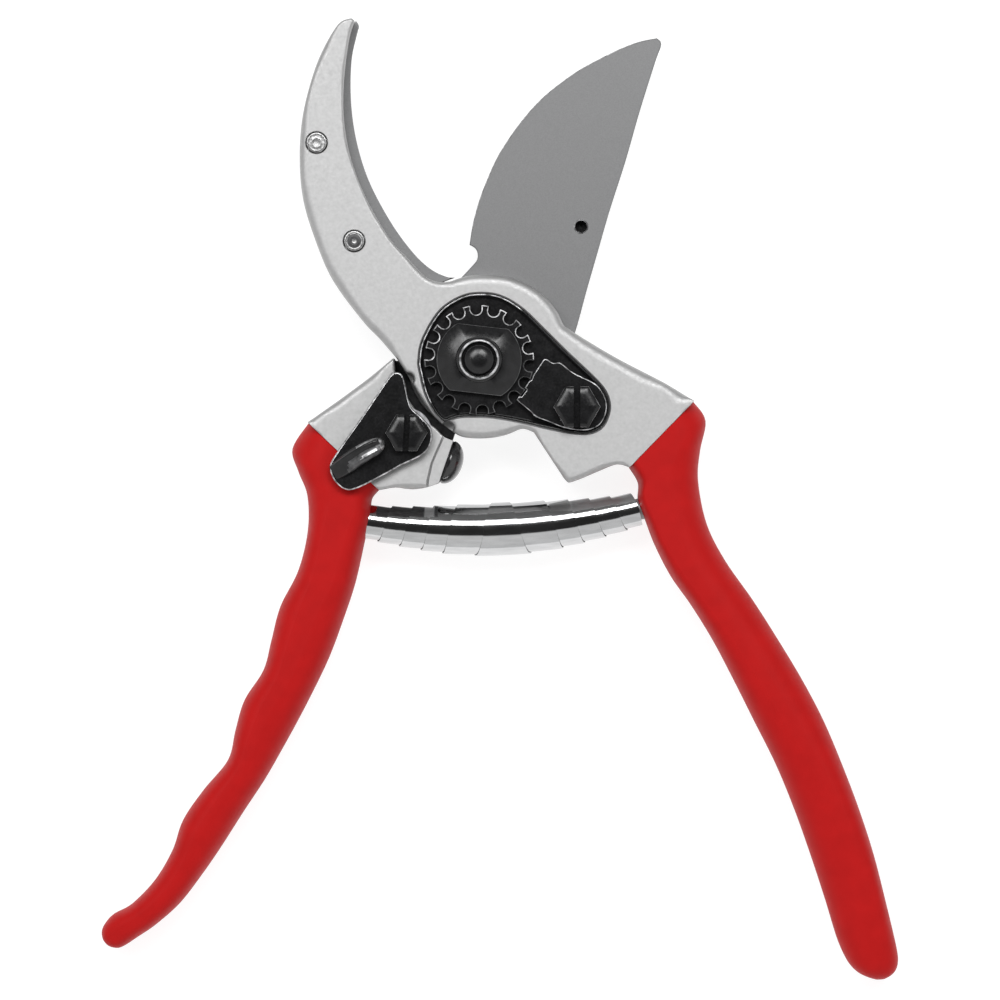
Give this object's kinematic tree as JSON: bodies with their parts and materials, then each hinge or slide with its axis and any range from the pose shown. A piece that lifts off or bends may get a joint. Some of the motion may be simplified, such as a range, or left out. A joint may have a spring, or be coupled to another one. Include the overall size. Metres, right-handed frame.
{
  "type": "pruning shears",
  "caption": "Bypass hand pruner with a curved blade, hooked counter blade, sprung bowed handles in dipped grips, adjustable pivot nut and a thumb catch.",
  "frame": {"origin": "on the pivot bolt's axis, at the underside of its head, which rests on the table", "axes": "+Z along the bolt out of the nut side, +Y from the pivot towards the open blades, +X towards the handle that carries the hook"},
  "size_m": [0.1595, 0.192, 0.0229],
  "materials": {
    "cast_aluminium": "satin fine-cast surface",
    "red_vinyl": "smooth semi-gloss dipped covering",
    "blade_steel": "fine-ground, matt",
    "rivet_alloy": "bright turned",
    "black_steel": "glossy black coating",
    "plated_steel": "zinc plated",
    "bush_brass": "turned",
    "black_rubber": "smooth",
    "spring_chrome": "bright polished strip"
  },
  "bodies": {
    "anvil_handle": {"anvil_handle_core": "cast_aluminium", "anvil_grip": "red_vinyl", "counter_blade": "blade_steel", "counter_blade_rivet": "rivet_alloy", "pivot_bolt": "black_steel", "bolt_washer": "plated_steel", "pivot_nut": "black_steel", "nut_seat_plate": "black_steel", "locking_segment": "black_steel", "segment_screw": "black_steel", "segment_washer": "black_steel", "spring_post_anvil": "cast_aluminium"},
    "blade_handle": {"blade_handle_core": "cast_aluminium", "blade_grip": "red_vinyl", "cutting_blade": "blade_steel", "blade_locating_pin": "plated_steel", "pivot_bush": "bush_brass", "shock_absorber": "black_rubber", "absorber_seat": "plated_steel", "catch_screw": "black_steel", "catch_washer": "plated_steel", "spring_post_blade": "cast_aluminium", "return_spring": "spring_chrome"},
    "thumb_catch": {"thumb_catch": "black_steel"}
  },
  "joints": [
    {"name": "handle_pivot", "type": "hinge", "parent": "anvil_handle", "child": "blade_handle", "pos_m": [0, 0, 0.009], "axis": [0, 0, 1], "range_deg": [0, 49.5], "stiffness_Nm_per_rad": 1.2, "springref_deg": -8.59, "deforming": ["return_spring", "shock_absorber"]},
    {"name": "catch_pivot", "type": "hinge", "parent": "blade_handle", "child": "thumb_catch", "pos_m": [-0.0144, -0.0146, 0.0181], "axis": [0, 0, 1], "range_deg": [-9, 0]}
  ]
}
